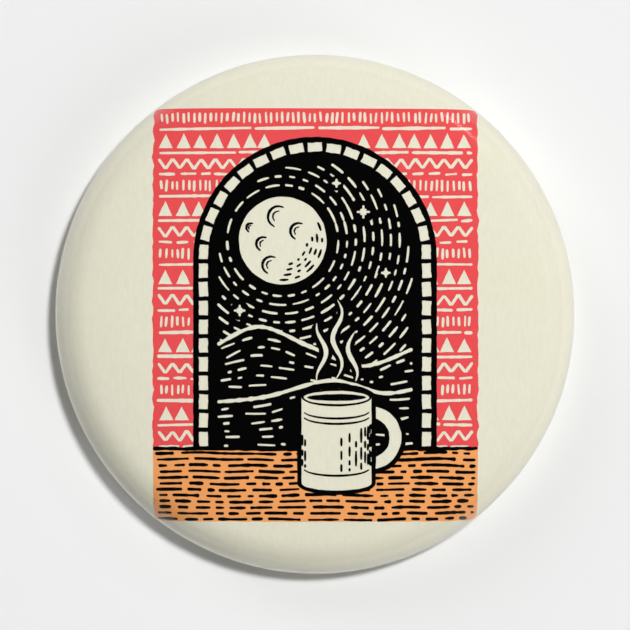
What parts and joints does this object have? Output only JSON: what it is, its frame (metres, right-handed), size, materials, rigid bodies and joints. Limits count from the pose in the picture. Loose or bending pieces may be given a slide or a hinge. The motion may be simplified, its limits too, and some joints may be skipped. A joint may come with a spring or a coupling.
{
  "type": "pin-back button badge",
  "caption": "Round domed button badge with a printed paper face under clear film, a crimped tinplate back and a spring-wire pin held in a lanced catch.",
  "frame": {"origin": "on the button's axis, in the plane that the rolled rim of its back rests on", "axes": "+Z out of the printed face, +Y towards the top of the picture, +X towards the picture's right"},
  "size_m": [0.058, 0.058, 0.0087],
  "materials": {
    "clear_film": "clear gloss polyester film",
    "printed_paper": "cream paper printed in red, black and orange",
    "shell_tinplate": "tinplate",
    "back_tinplate": "tinplate, lightly rolled grain",
    "spring_steel": "nickel-plated spring wire"
  },
  "bodies": {
    "button": {"front_shell": "shell_tinplate", "print_disc": "printed_paper", "film_disc": "clear_film", "back_plate": "back_tinplate", "pin_wire": "spring_steel"},
    "needle_arm": {"needle": "spring_steel"}
  },
  "joints": [
    {"name": "needle_swing", "type": "hinge", "parent": "button", "child": "needle_arm", "pos_m": [-0.0165, 0.0026, 0.00224], "axis": [0, 0.5, 0.866], "range_deg": [0, 40]}
  ]
}
